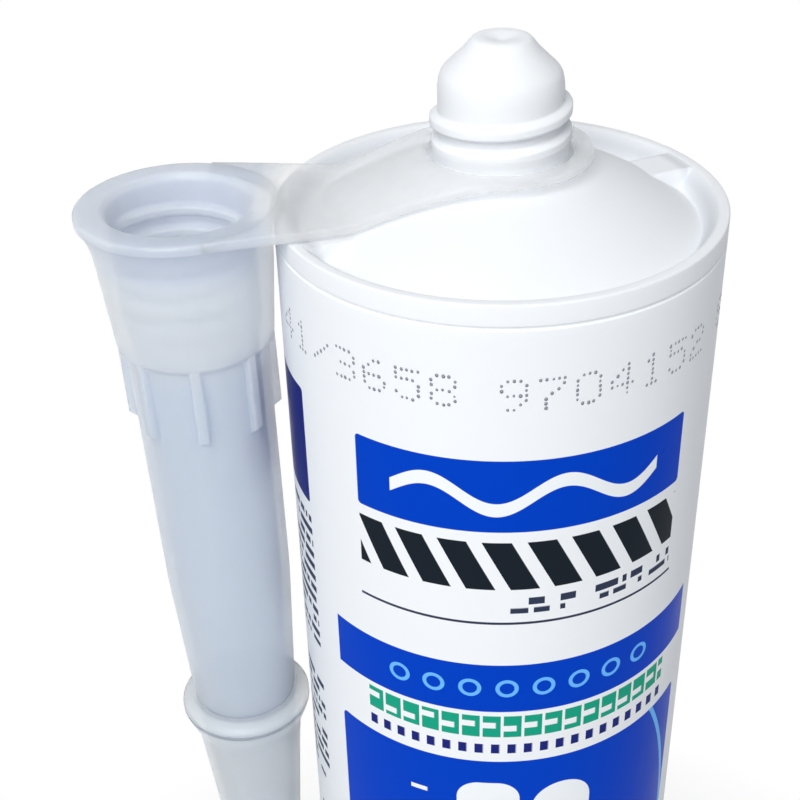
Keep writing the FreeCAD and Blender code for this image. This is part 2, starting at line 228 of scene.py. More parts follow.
def grid_faces(rows, columns, closed):
    """Quads of a grid whose columns close round, and whose rows close too if asked."""
    index = np.arange(rows * columns).reshape(rows, columns)
    below = np.roll(index, -1, axis=0)
    if not closed:
        index, below = index[:-1], below[:-1]
    quads = np.stack([index, below, np.roll(below, -1, axis=1), np.roll(index, -1, axis=1)], -1)
    return quads.reshape(-1, 4)


def turned(name, outline, angles, body, material, shape=None, place=None, closed=False):
    """A surface of revolution: every outline point is carried round the axis by every angle.

    The outline runs down the outside and up the inside. An open outline starts and ends on the
    axis, where each end is one pole vertex. The shape function may change radius and height over
    the grid, and place moves the finished points.
    """
    ring = outline if closed else outline[1:-1]
    rows, columns = len(ring), len(angles)
    r = np.repeat(ring[:, :1], columns, axis=1)
    z = np.repeat(ring[:, 1:], columns, axis=1)
    phi = np.repeat(np.asarray(angles)[None, :], rows, axis=0)
    if shape:
        r, z = shape(r, z, phi)
    spots = np.stack([r * np.cos(phi), r * np.sin(phi), z], -1).reshape(-1, 3)
    faces = grid_faces(rows, columns, closed).tolist()
    if not closed:
        poles = np.array([[0, 0, outline[0, 1]], [0, 0, outline[-1, 1]]])
        first, last = len(spots), len(spots) + 1
        spots = np.concatenate([spots, poles])
        j = np.arange(columns)
        after = np.roll(j, -1)
        base = (rows - 1) * columns
        faces += np.stack([np.full(columns, first), j, after], -1).tolist()
        faces += np.stack([base + j, np.full(columns, last), base + after], -1).tolist()
    if place:
        spots = place(spots)
    return mesh_piece(name, spots, faces, body, material)


def angles_with(base, centres, half_span, count):
    """Evenly spread angles, with more of them close to each centre."""
    even = np.linspace(0, FULL, base, endpoint=False)
    near = [c + np.linspace(-half_span, half_span, count) for c in centres]
    every = np.sort(np.concatenate([even] + near) % FULL)
    keep = np.diff(every, append=every[0] + FULL) > 1e-4
    return every[keep]


def ridge(phi, z, top_z, turns):
    """Height share of a helical ridge, from 0 at its foot to 1 on its crest.

    The crest falls by one pitch a turn from its top, so the nearest crest is found by rounding
    the number of turns below the top, and both ends fade out.
    """
    part = ((THREAD_TOP_ANGLE - phi) / FULL) % 1.0
    turn = np.round((top_z - z) / THREAD_PITCH - part) + part
    away = np.abs(z - top_z + THREAD_PITCH * turn)
    side = (THREAD_BASE - THREAD_CREST) / 2
    height = smooth(0, 1, (THREAD_BASE / 2 - away) / side)
    return height * smooth(0, 0.1, turn) * smooth(0, 0.1, turns - turn)


def hang(spots):
    """Move points from the nozzle's own axis to where it hangs, with its lean as a shear."""
    moved = spots.copy()
    moved[:, 0] += NOZZLE_X - LEAN * spots[:, 2]
    moved[:, 2] += RIM_Z
    return moved


def barrel_outline():
    """Outline of the barrel from the neck's tip down the outside and up the bore.

    Also gives the slice of its rows where a key may rise.
    """
    tip = NECK_TIP_Z
    neck = trace([
        (0, tip - 0.5, 0, 0.5),
        (1.9, tip, 0.3, 0.5),
        (3.05, tip, 0.45, 0.5),
        (4.1, tip - 1.3, 0.5, 0.4),
        (6.5, tip - 3.6, 0.7, 0.4),
        (NECK_ROOT_R, NECK_ROOT_TOP_Z, 0.5, 0.3),
        (NECK_ROOT_R, NECK_FOOT_TOP_Z, 0.15, 0.11),
        (NECK_FOOT_R, NECK_FOOT_TOP_Z, 0.25, 0.3),
        (NECK_FOOT_R, DOME_TOP_Z + 0.3, 0, 0.6),
    ], 4)
    start = len(neck)
    shares = np.concatenate([np.linspace(0, 0.62, 22), np.linspace(0.64, 0.72, 14),
                             np.linspace(0.74, 0.97, 12)])
    dome = bowed((NECK_FOOT_R, DOME_TOP_Z), (DOME_FOOT_R, DOME_FOOT_Z), DOME_BULGE, shares)
    rim = trace([
        (dome[-1][0], dome[-1][1], 0, 0.4),
        (DOME_FOOT_R, DOME_FOOT_Z, 0.3, 0.2),
        (RIM_INNER_R, RIM_Z, 0.35, 0.22),
        (BARREL_R, RIM_Z, 0.28, 0.3),
        (BARREL_R, RIM_Z - 2.4, 0.1, 0.6),
        (BARREL_R - 0.2, RIM_Z - 2.48, 0.05, 0.1),
        (BARREL_R - 0.2, RIM_Z - 2.75, 0.05, 0.2),
        (BARREL_R, RIM_Z - 2.85, 0.1, 0.1),
        (BARREL_R, RIM_Z - 6, 0, 1.2),
    ])[1:]
    stop = start + len(dome) + int(np.sum(rim[:, 0] < RIM_INNER_R))
    wall = trace([
        (BARREL_R, RIM_Z - 6, 0, 9),
        (BARREL_R, 0, 0.4, 20),
        (LEAD_IN_R, 0, 0.2, 0.4),
        (LEAD_IN_R, LEAD_IN_TOP, 0.1, 4),
        (BORE_R, LEAD_IN_TOP + 0.3, 0.1, 0.3),
        (BORE_R, DOME_FOOT_Z - HEAD_WALL, 0.2, 25),
    ])[1:]
    ceiling = bowed(wall[-1], (NECK_BORE_R, DOME_TOP_Z - HEAD_WALL / 2), -DOME_BULGE,
                    np.linspace(0, 1, 8)[1:])
    bore = trace([
        (NECK_BORE_R, DOME_TOP_Z - HEAD_WALL / 2, 0, 1),
        (NECK_BORE_R, NECK_TAPER_Z, 0.2, 2),
        (1.9, NECK_INSIDE_Z, 0.2, 1),
        (0, NECK_INSIDE_Z, 0, 1),
    ], 2)[1:]
    return np.concatenate([neck, dome, rim, wall, ceiling, bore]), slice(start - 1, stop - 1)


def barrel_shape(rows):
    """The shape function of the barrel: thread on the neck, keys on the dome.

    The neck's radius grows towards the crest by the ridge's share. A key lifts its rows to its
    top where the distance along and across its direction is inside its reach and width.
    """
    def shape(r, z, phi):
        neck = (z > NECK_FOOT_TOP_Z - 3) & (r > NECK_ROOT_R - 0.3) & (r < NECK_FOOT_R + 0.01)
        crest = np.maximum(r, r + (THREAD_CREST_R - r) * ridge(phi, z, THREAD_TOP_Z, THREAD_TURNS))
        r = np.where(neck, crest, r)
        top, wide, far = z[rows], r[rows], phi[rows]
        for angle in KEY_ANGLES:
            across = np.abs(wide * np.sin(far - angle))
            along = wide * np.cos(far - angle)
            share = smooth(KEY_INNER_R - KEY_SOFT, KEY_INNER_R + KEY_SOFT, along)
            share *= smooth(KEY_HALF_WIDTH + KEY_SOFT, KEY_HALF_WIDTH - KEY_SOFT, across)
            top = top + share * np.maximum(0, KEY_TOP_Z - top)
        z[rows] = top
        return r, z
    return shape


def nozzle_outline():
    """Closed outline of flange, socket, taper and channel, in the nozzle's own frame."""
    top = STRAP_UNDER_Z + STRAP_THICK - RIM_Z
    under = STRAP_UNDER_Z - RIM_Z - 0.03
    bore = [(r - NOZZLE_WALL, z) for r, z in SHANK]
    corners = [
        (9.4, top, 0, 0.4),
        (FLANGE_R, top, 0.5, 0.4),
        (FLANGE_R, under + 0.02, 0.12, 0.3),
        (FLARE_TOP_R + 0.05, under - 0.02, 0.1, 0.2),
        (FLARE_MIDDLE_R - 0.08, -2.5, 0.9, 0.3),
        (9.9, -4.8, 1.2, 0.4),
        (9.05, -14.9, 0.3, 1.2),
        (8.25, -15.6, 0.3, 0.2),
        (8.08, -23.2, 0, 0.5),
        (8.05, -26.2, 0, 0.25),
        (*SHANK[1], 3.0, 1.5),
        (*SHANK[2], 3.0, 1.5),
        (*SHANK[3], 0.3, 3.0),
        (*bore[3], 0.2, 0.4),
        (*bore[2], 2.0, 4.0),
        (*bore[1], 2.0, 4.0),
        (*bore[0], 0.4, 4.0),
        (SOCKET_BORE_R, -12.2, 0.4, 0.6),
        (SOCKET_BORE_R, -11.5, 0, 0.5),
        (SOCKET_BORE_R, -1.2, 0, 0.13),
        (SOCKET_BORE_R + 0.1, 0.6, 0.3, 0.3),
        (8.5, top, 0.35, 0.3),
        (9.4, top, 0, 0.4),
    ]
    return trace(corners)[:-1]


def shank_radius(drop):
    """Outer radius of the nozzle's taper at a height below the rim."""
    r, z = zip(*SHANK)
    return np.interp(drop, z[::-1], r[::-1])


def nozzle_shape(r, z, phi):
    """Ribs under the socket, thread inside it, and the flare cut back beside the barrel.

    A rib raises the radius to its reach where the arc from its middle is under half its width.
    Beside the barrel the radius stops where its ray meets a circle just outside the barrel.
    """
    outer = r > SOCKET_BORE_R + 0.05
    for k in range(RIB_COUNT):
        turn = (phi - RIB_PHASE - k * FULL / RIB_COUNT + math.pi) % FULL - math.pi
        across = np.abs(turn) * r
        share = smooth(RIB_HALF_WIDTH + 0.12, RIB_HALF_WIDTH - 0.12, across)
        reach = np.minimum(RIB_R, shank_radius(z) + np.maximum(0, z - RIB_END) * 1.3)
        on_rib = outer & (z < RIB_TOP) & (z > RIB_END - 0.2)
        r = np.where(on_rib, r + share * np.maximum(0, reach - r), r)
    inner = (r < SOCKET_BORE_R + 0.05) & (z > -12) & (z < 0)
    depth = SOCKET_BORE_R - SOCKET_THREAD_R
    r = np.where(inner, r - depth * ridge(phi, z, -2.2, 3.0), r)
    centre = NOZZLE_X - LEAN * z
    toward = centre * np.cos(phi)
    room = toward ** 2 - centre ** 2 + CLEAR_R ** 2
    limit = np.where((room > 0) & (toward < 0), -toward - np.sqrt(np.maximum(room, 0)), 99)
    under = outer & (z < STRAP_UNDER_Z - RIM_Z - 0.04) & (z > -25)
    return np.where(under, np.minimum(r, limit), r), z


def cap_outline():
    """Outline of the cap from the floor of its inside, over the mouth and down to its end."""
    gap = 0.2
    slope = (SHANK[2][0] - SHANK[3][0]) / (SHANK[2][1] - SHANK[3][1])
    mouth_r = SHANK[2][0] + slope * (CAP_MOUTH - SHANK[2][1]) + gap
    tip_r = SHANK[3][0] + gap
    return trace([
        (0, CAP_END + 1.2, 0, 1),
        (tip_r, CAP_END + 1.2, 0.2, 1),
        (tip_r, SHANK[3][1], 0.4, 1),
        (mouth_r - 0.14, CAP_MOUTH + 0.3, 0.06, 4),
        (mouth_r, CAP_MOUTH + 0.35, 0.06, 0.1),
        (mouth_r + 0.15, CAP_MOUTH - 0.2, 0.3, 0.2),
        (8.6, -71.3, 0.9, 0.3),
        (8.6, -72.1, 0.5, 0.3),
        (8.05, -73.9, 1.0, 0.3),
        (7.12, -75.6, 0.9, 0.3),
        (3.25, CAP_END + 0.2, 0.8, 1.0),
        (2.3, CAP_END, 0.4, 0.4),
        (0, CAP_END, 0, 0.8),
    ])


def cap_shape(r, z, phi):
    """Shallow flutes down the cap's body: a cosine of the angle that fades in under the bead."""
    outer = r > shank_radius(z) + 0.35
    share = smooth(-76.5, -80.5, z) * smooth(CAP_END, CAP_END + 3, z)
    dip = FLUTE_DEPTH * (0.5 + 0.5 * np.cos(FLUTES * phi))
    return np.where(outer, r - share * dip, r), z


def tangent(centre_x, radius, spot, side):
    """Where a tangent from a spot meets a circle centred on the X axis."""
    run, rise = spot[0] - centre_x, spot[1]
    angle = math.atan2(rise, run) + side * math.acos(radius / math.hypot(run, rise))
    return centre_x + radius * math.cos(angle), radius * math.sin(angle)


def ray_to_line(theta, start, end):
    """Distance from the neck's axis along each angle to the line through two spots."""
    run, rise = end[0] - start[0], end[1] - start[1]
    across = np.cos(theta) * rise - np.sin(theta) * run
    return (start[0] * rise - start[1] * run) / across


def strap_reach(theta):
    """How far ring, strap and flange reach from the neck's axis at each angle.

    The outline is the ring's circle, a straight edge to the waist, another to the flange, and
    the near side of a circle inside the flange, where the strap's end is hidden.
    """
    turn = np.abs((theta % FULL) - math.pi)
    mirrored = math.pi - turn
    ring_spot = tangent(0, RING_OUTER_R, WAIST, -1)
    flange_spot = tangent(NOZZLE_X, FLANGE_R, WAIST, 1)
    buried_r = FLANGE_R - 1.2
    to_waist = ray_to_line(mirrored, ring_spot, WAIST)
    to_flange = ray_to_line(mirrored, WAIST, flange_spot)
    middle = NOZZLE_X * np.cos(mirrored)
    room = np.maximum(middle ** 2 - NOZZLE_X ** 2 + buried_r ** 2, 0)
    to_end = middle - np.sqrt(room)
    reach = np.full_like(mirrored, RING_OUTER_R)
    reach = np.where(mirrored > math.atan2(ring_spot[1], ring_spot[0]), to_waist, reach)
    past_waist = mirrored > math.atan2(WAIST[1], WAIST[0])
    reach = np.where(past_waist, np.minimum(to_flange, -NOZZLE_X - 1.2), reach)
    inside = (room > 0) & (middle > 0)
    return np.where(inside, to_end, reach)


def strap_height(r, theta):
    """Height of the sheet's underside over the distance from the neck, with its bends eased.

    It is level at the ring, falls along the dome and is level again over the rim. The side of
    the ring away from the strap stays level.
    """
    shifts = np.linspace(-1.1, 1.1, 9)
    drop = sum(np.interp(r + s, [FOLD_IN_R, FOLD_OUT_R], [0, RING_UNDER_Z - STRAP_UNDER_Z])
               for s in shifts) / len(shifts)
    return RING_UNDER_Z - drop * smooth(0.0, 0.5, -np.cos(theta))


def strap_grid():
    """Points of ring and strap: a rounded flat section carried round the neck's axis.

    The section runs out over the top, round a half circle, back under it and round again. Its
    span from the hole to the outline's reach and its level above the middle give each point.
    """
    theta = np.concatenate([np.linspace(-1.35, 1.35, 50), np.linspace(1.4, FULL - 1.4, 260)])
    edge, count = 0.35, 46
    arc = np.linspace(0, math.pi, 7)[1:-1]
    share = np.linspace(0, 1, count)
    span = np.concatenate([share, np.ones(5), share[::-1], np.zeros(5)])
    inset = np.concatenate([edge - 2 * edge * share, edge * np.sin(arc) - edge,
                            (edge - 2 * edge * share)[::-1], edge - edge * np.sin(arc)])
    level = np.concatenate([np.ones(count), np.cos(arc), -np.ones(count), -np.cos(arc)])
    far = strap_reach(theta)[None, :]
    r = RING_INNER_R + (far - RING_INNER_R) * span[:, None] + inset[:, None]
    z = strap_height(r, theta) + STRAP_THICK / 2 + level[:, None] * (STRAP_THICK / 2 - 0.01)
    return np.stack([r * np.cos(theta), r * np.sin(theta), z], -1)


class Graph:
    """The node tree of a material or a world, with one method that adds any node."""

    def __init__(self, owner):
        owner.use_nodes = True
        self.owner = owner
        self.tree = owner.node_tree
        self.tree.nodes.clear()

    def node(self, kind, settings=None, sockets=None):
        """Add a node, set its settings first, then its sockets by name or index."""
        made = self.tree.nodes.new(kind)
        for key, value in (settings or {}).items():
            setattr(made, key, value)
        for key, value in (sockets or {}).items():
            socket = made.inputs[key]
            if isinstance(value, Value):
                self.tree.links.new(value.socket, socket)
            elif isinstance(value, tuple) and len(value) == 3 and socket.type == "RGBA":
                socket.default_value = (*value, 1.0)
            else:
                socket.default_value = value
        return made

    def value(self, kind, settings=None, sockets=None, output=0):
        """Add a node and wrap one of its outputs."""
        return Value(self, self.node(kind, settings, sockets).outputs[output])

    def mix(self, share, under, over):
        """The over colour laid on the under colour by a share."""
        return self.value("ShaderNodeMix", {"data_type": "RGBA"}, {0: share, 6: under, 7: over}, 2)

    def noise(self, at, scale, detail=2.0):
        """Smooth noise from 0 to 1."""
        return self.value("ShaderNodeTexNoise", {}, {
            "Vector": at, "Scale": scale, "Detail": detail})

    def stretched(self, at, share):
        """The place with its height scaled, for marks that run along the axis."""
        return self.value("ShaderNodeMapping", {}, {"Vector": at, "Scale": (1.0, 1.0, share)})

    def bump(self, strength, height):
        """A normal bent by a height of at most a tenth of a millimetre."""
        return self.value("ShaderNodeBump", {}, {
            "Strength": strength, "Distance": 0.0001, "Height": height})

    def finish(self, shader):
        """Join the last shader to the material's output."""
        self.node("ShaderNodeOutputMaterial", {}, {"Surface": shader})
        return self.owner


class Value:
    """A shader socket whose Python operators add Math nodes."""

    def __init__(self, graph, socket):
        self.graph = graph
        self.socket = socket

    def math(self, operation, *others, swap=False):
        """Add one Math node on this value and the others."""
        terms = [self, *others]
        if swap:
            terms.reverse()
        return self.graph.value("ShaderNodeMath", {"operation": operation}, dict(enumerate(terms)))

    def __add__(self, other):
        return self.math("ADD", other)

    def __radd__(self, other):
        return self.math("ADD", other)

    def __sub__(self, other):
        return self.math("SUBTRACT", other)

    def __rsub__(self, other):
        return self.math("SUBTRACT", other, swap=True)

    def __mul__(self, other):
        return self.math("MULTIPLY", other)

    def __rmul__(self, other):
        return self.math("MULTIPLY", other)

    def __truediv__(self, other):
        return self.math("DIVIDE", other)

    def __neg__(self):
        return self.math("MULTIPLY", -1.0)

    def __abs__(self):
        return self.math("ABSOLUTE")

    def floor(self):
        """The whole number below."""
        return self.math("FLOOR")

    def part(self):
        """What is left over the whole number."""
        return self.math("FRACT")

    def least(self, other):
        """The smaller of two values."""
        return self.math("MINIMUM", other)

    def most(self, other):
        """The larger of two values."""
        return self.math("MAXIMUM", other)

    def held(self):
        """The value kept between 0 and 1."""
        return self.least(1.0).most(0.0)

    def below(self, limit, soft=0.06):
        """1 where the value is under the limit and 0 over it, across a soft edge."""
        return ((limit - self) / soft + 0.5).held()

    def above(self, limit):
        """1 where the value is over the limit and 0 elsewhere."""
        return self.math("GREATER_THAN", limit)


def distance(across, along):
    """Length of a run across and along the print."""
    return (across * across + along * along).math("SQRT")


def bar(u, v, left, right, low, high):
    """Mask of an upright rectangle on the print."""
    across = abs(u - (left + right) / 2) - (right - left) / 2
    along = abs(v - (low + high) / 2) - (high - low) / 2
    return across.most(along).below(0.0)


def rounded(u, v, left, right, low, high, corner):
    """Distance to a rectangle with round corners, negative inside."""
    across = (abs(u - (left + right) / 2) - ((right - left) / 2 - corner)).most(0.0)
    along = (abs(v - (low + high) / 2) - ((high - low) / 2 - corner)).most(0.0)
    return distance(across, along) - corner


def random_cell(graph, column, row):
    """A random number from 0 to 1 for each cell of a column and a row."""
    place = graph.value("ShaderNodeCombineXYZ", {}, {"X": column, "Y": row})
    return graph.value("ShaderNodeTexWhiteNoise", {"noise_dimensions": "2D"}, {"Vector": place})


def fine_print(graph, u, v, left, right, low, high, pitch, tall=0.55, stroke=0.42, gaps=0.34):
    """Mask of lines of fine print as broken strokes, with word gaps and ragged ends."""
    row = (v / pitch).floor()
    inside = (v / pitch).part().below(tall, 0.08)
    letters = random_cell(graph, (u / stroke).floor(), row).above(gaps)
    words = random_cell(graph, (u / (stroke * 7)).floor(), row + 57.0).above(0.16)
    return bar(u, v, left, right, low, high) * inside * letters * words


def label_blocks(graph, u, v, tints):
    """The front panel's upper fields as (mask, colour) layers, from under to over."""
    wave = abs(v + 22.7 - (u * 0.42).math("SINE") * 1.7)
    slant = ((u + v * 0.5) / 4.9).part()
    light = tints["light"]
    ring_u = ((u / 4.3).part() - 0.5) * 4.3
    ring = abs(distance(ring_u, v + 49.9) - 1.1)
    letter = (u / 2.45).part()
    tall = random_cell(graph, (u / 2.45).floor(), 3.0 + 0 * v)
    notch = letter.below(0.62) * abs(v + 56.0 + (tall - 0.5) * 1.6).below(0.45)
    small = (u / 1.95).part().below(0.52, 0.1)
    green = bar(u, v, -19.9, 20.6, -57.7, -54.3) * (1 - letter.above(0.86)) * (1 - notch)
    return [
        (rounded(u, v, -19.9, 19.6, -27.3, -18.1, 0.5).below(0.0), tints["blue"]),
        (wave.below(0.85) * bar(u, v, -15.5, 15.2, -26.6, -18.8), tints["white"]),
        (bar(u, v, -19.8, 19.4, -35.2, -28.7) * slant.below(0.66, 0.02), tints["black"]),
        (fine_print(graph, u, v, -2.0, 19.4, -38.6, -36.4, 2.2, 0.8, 0.6), tints["ink"]),
        (bar(u, v, -20.0, 19.8, -40.2, -39.85), tints["ink"]),
        (bar(u, v, *BAND), tints["blue"]),
        (ring.below(0.24) * bar(u, v, -17.2, 17.2, -53.0, -47.0), light),
        (green, tints["green"]),
        (small * bar(u, v, -19.7, 20.4, -60.4, -58.9), tints["navy"]),
    ]


def label_panel(graph, u, v, tints):
    """The large lower field with its arc, two upright blocks, disc, drop and plain bars."""
    middle_u, middle_v, reach = PANEL_ARC
    arc = abs(distance(u - middle_u, v - middle_v) - reach).below(0.35)
    arc = arc * bar(u, v, 10.0, *PANEL[1:])
    cone = (abs(u + 0.8) + (v + 100.4) * 0.62).below(4.7) * bar(u, v, -5.5, 3.9, -100.4, -90.0)
    drop = distance(u + 0.8, v + 100.4).below(4.7).most(cone)
    marks = fine_print(graph, v, u, -96.0, -66.5, -13.9, -11.4, 2.8, 0.8, 0.7)
    return [
        (rounded(u, v, *PANEL, 0.8).below(0.0), tints["blue"]),
        (arc, tints["light"]),
        (rounded(u, v, -8.0, -0.3, -85.0, -65.5, 2.8).below(0.0), tints["white"]),
        (rounded(u, v, 1.2, 8.9, -85.0, -66.4, 3.8).below(0.0), tints["white"]),
        (distance(u + 0.8, v + 98.6).below(11.0), tints["white"]),
        (drop, tints["blue"]),
        (marks, tints["white"]),
        (rounded(u, v, -15.0, 15.0, -116.0, -111.5, 1.2).below(0.0), tints["white"]),
        (rounded(u, v, -18.0, 18.0, -128.5, -120.5, 1.2).below(0.0), tints["green"]),
        (fine_print(graph, u, v, -17.0, 17.0, -144.0, -132.0, 2.4, 0.5, 0.6), tints["white"]),
    ]


def label_sides(graph, u, v, tints):
    """Headed columns of fine print on both sides of the front panel."""
    layers = []
    for left, right, head, ends in SIDE_COLUMNS:
        layers.append((rounded(u, v, left, right, *SIDE_HEAD, 0.5).below(0.0), tints[head]))
        tops = (SIDE_HEAD[0] - 2.0,) + tuple(end - BLOCK_GAP for end in ends[:-1])
        for top, end in zip(tops, ends):
            lines = fine_print(graph, u, v, left, right, end, top, 1.8, 0.52, 0.5, 0.22)
            layers.append((lines, tints["ink"]))
    layers.append((bar(u, v, -80.0, 80.0, -182.6, -182.0), tints["navy"]))
    layers.append((bar(u, v, -80.0, 80.0, -186.0, -183.4), tints["blue"]))
    return layers


def object_place(graph):
    """The point's own place in millimetres, as x, y and z."""
    at = graph.value("ShaderNodeTexCoord", {}, {}, 3)
    split = graph.node("ShaderNodeSeparateXYZ", {}, {"Vector": at})
    return at, [Value(graph, socket) * (1 / MM) for socket in split.outputs]


def barrel_material(look):
    """White polyethylene with the printed fields, fine draw lines and a soft mould texture.

    The foot of the dome, inside the rim, gets painted shade: a soft darker band round the axis.
    """
    graph = Graph(bpy.data.materials.new("barrel_plastic"))
    at, (x, y, z) = object_place(graph)
    turn = look.label_turn
    ahead = x * math.cos(turn) + y * math.sin(turn)
    aside = y * math.cos(turn) - x * math.sin(turn)
    u = aside.math("ARCTAN2", ahead) * BARREL_R
    v = z - RIM_Z
    tints = {name: tuple(getattr(look, name)) for name in
             ("blue", "navy", "light", "green", "black", "ink", "white")}
    cloud = graph.noise(at, 60.0)
    colour = graph.mix(cloud * 0.35, tuple(look.plastic), tuple(c * 0.975 for c in look.plastic))
    radius = distance(x, y)
    # Painted shade: a soft darker band at the dome's foot, where the hollow inside the rim is in
    # shade.
    groove_shade = abs(radius - (DOME_FOOT_R + RIM_INNER_R) / 2).below(0.6, 1.0) * v.above(-3.2)
    colour = graph.mix(groove_shade * 0.5, colour, tuple(look.groove_shade))
    outside = radius.above(BARREL_R - 0.08)
    printed = None
    layers = (label_blocks(graph, u, v, tints) + label_panel(graph, u, v, tints)
              + label_sides(graph, u, v, tints))
    for mask, tint in layers:
        mask = mask * outside
        colour = graph.mix(mask, colour, tint)
        printed = mask if printed is None else printed.most(mask)
    lines = graph.noise(graph.stretched(at, 0.03), 900.0, 3.0)
    grain = graph.noise(at, 700.0, 3.0)
    scuff = graph.noise(at, 240.0, 4.0)
    shader = graph.value("ShaderNodeBsdfPrincipled", {}, {
        "Base Color": colour,
        "Roughness": look.roughness + (scuff - 0.5) * 0.12 - printed * 0.06,
        "IOR": 1.5,
        "Specular IOR Level": 0.02,
        "Subsurface Weight": 0.12,
        "Subsurface Radius": (1.0, 0.9, 0.8),
        "Subsurface Scale": 0.002,
        "Normal": graph.bump(0.12, lines * 0.6 + grain * 0.4),
    })
    return graph.finish(shader)


def milky_material(name, look, tint):
    """Milky polyethylene, soft and see-through: clearest in the strap, painted shade in the mouth.

    The strap's share falls with the distance from the neck. Its paler colour is partly the thin
    web and partly painted light from the white dome under it. The share of the mouth's painted
    shade is full where a point is closer to the nozzle's axis than the socket's bore, and outside
    it falls from the flange down. The socket is paler than the taper, across a soft step at its
    lower edge.
    """
    graph = Graph(bpy.data.materials.new(name))
    at, (x, y, z) = object_place(graph)
    mottle = graph.noise(graph.stretched(at, 0.25), 120.0, 3.0)
    thin = 1 - (distance(x, y) / 5.0 - 4.6).held()
    drop = z - RIM_Z
    off_axis = x + drop * LEAN - NOZZLE_X
    near = distance(off_axis, y).below(SOCKET_BORE_R + 0.5, 0.6)
    inside = near * (-drop).below(13.0, 2.0)
    # Painted shade in the socket's mouth, reaching over the flange top, but not on the strap.
    mouth_shade = inside.most((drop / 7.0 + 0.8).held()) * (1 - thin)
    socket = (drop / 6.0 + 3.1).held()
    colour = graph.mix(mottle, tuple(c * 0.95 for c in tint), tuple(tint))
    colour = graph.mix(socket * 0.5, colour, tuple(look.strap_pale_lit_tint))
    colour = graph.mix(mouth_shade, colour, tuple(look.mouth_shade_tint))
    # The strap's paler colour: partly the thin web, partly painted light from the white dome under
    # it.
    colour = graph.mix(thin, colour, tuple(look.strap_pale_lit_tint))
    grain = graph.noise(at, 800.0, 3.0)
    shader = graph.value("ShaderNodeBsdfPrincipled", {}, {
        "Base Color": colour,
        "Roughness": look.roughness + (graph.noise(at, 300.0, 4.0) - 0.5) * 0.14,
        "IOR": 1.5,
        "Alpha": 1 - look.clear - thin * (look.strap_clear - look.clear) + (mottle - 0.5) * 0.08,
        "Sheen Weight": 0.5,
        "Subsurface Weight": 1.0,
        "Subsurface Radius": (1.0, 1.0, 1.0),
        "Subsurface Scale": 0.003,
        "Normal": graph.bump(0.1, grain + mottle * 0.5),
    })
    return graph.finish(shader)


def plain_material(name, tint, rough, grain_scale):
    """A plain plastic or paste with a fine grain in its colour and surface."""
    graph = Graph(bpy.data.materials.new(name))
    at, _ = object_place(graph)
    grain = graph.noise(at, grain_scale, 4.0)
    shader = graph.value("ShaderNodeBsdfPrincipled", {}, {
        "Base Color": graph.mix(grain, tuple(c * 0.93 for c in tint), tuple(tint)),
        "Roughness": rough + (grain - 0.5) * 0.1,
        "Normal": graph.bump(0.15, grain),
    })
    return graph.finish(shader)


# Dot patterns of the printed figures, five dots wide and seven high
FIGURES = {
    "0": "01110 10001 10001 10001 10001 10001 01110",
    "1": "00100 01100 00100 00100 00100 00100 01110",
    "2": "01110 10001 00001 00110 01000 10000 11111",
    "3": "11110 00001 00001 01110 00001 00001 11110",
    "4": "00010 00110 01010 10010 11111 00010 00010",
    "5": "11111 10000 11110 00001 00001 10001 01110",
    "6": "00110 01000 10000 11110 10001 10001 01110",
    "7": "11111 00001 00010 00100 01000 01000 01000",
    "8": "01110 10001 10001 01110 10001 10001 01110",
    "9": "01110 10001 10001 01111 00001 00010 01100",
    "/": "00000 00001 00010 00100 01000 10000 00000",
    " ": "00000 00000 00000 00000 00000 00000 00000",
}


def code_spots(text, left, top):
    """Places of the ink dots of a line of figures, as arc length and height."""
    dot_u, dot_v = DOT_SPACING
    spots = []
    for place, figure in enumerate(text):
        for row, bits in enumerate(FIGURES[figure].split()):
            for column, bit in enumerate(bits):
                if bit == "1":
                    across = left + place * FIGURE_PITCH + column * dot_u
                    spots.append((across, top - row * dot_v))
    return np.array(spots)


def ink_dots(name, spots, turn, material):
    """Small raised lens-shaped dots on the barrel, each a fan above and a fan below."""
    sides = 8
    rng = np.random.default_rng(5)
    count = len(spots)
    centre = spots + rng.normal(0, 0.03, spots.shape)
    size = 0.18 + rng.normal(0, 0.02, count)
    corner = np.linspace(0, FULL, sides, endpoint=False)
    u = centre[:, :1] + size[:, None] * np.cos(corner) * 0.95
    v = centre[:, 1:] + size[:, None] * np.sin(corner) * 1.15
    u = np.concatenate([u, centre[:, :1], centre[:, :1]], axis=1)
    v = np.concatenate([v, centre[:, 1:], centre[:, 1:]], axis=1)
    lift = np.full((count, sides + 2), 0.01)
    lift[:, sides:] = (0.03, -0.05)
    angle = turn + u / BARREL_R
    r = BARREL_R + lift
    points = np.stack([r * np.cos(angle), r * np.sin(angle), v + RIM_Z], -1).reshape(-1, 3)
    base = np.arange(count)[:, None] * (sides + 2)
    j = np.arange(sides)[None, :]
    after = (j + 1) % sides
    upper = np.stack([base + j, base + after, base + 0 * j + sides], -1).reshape(-1, 3)
    lower = np.stack([base + after, base + j, base + 0 * j + sides + 1], -1).reshape(-1, 3)
    return mesh_piece(name, points, np.concatenate([upper, lower]).tolist(), "tube", material)


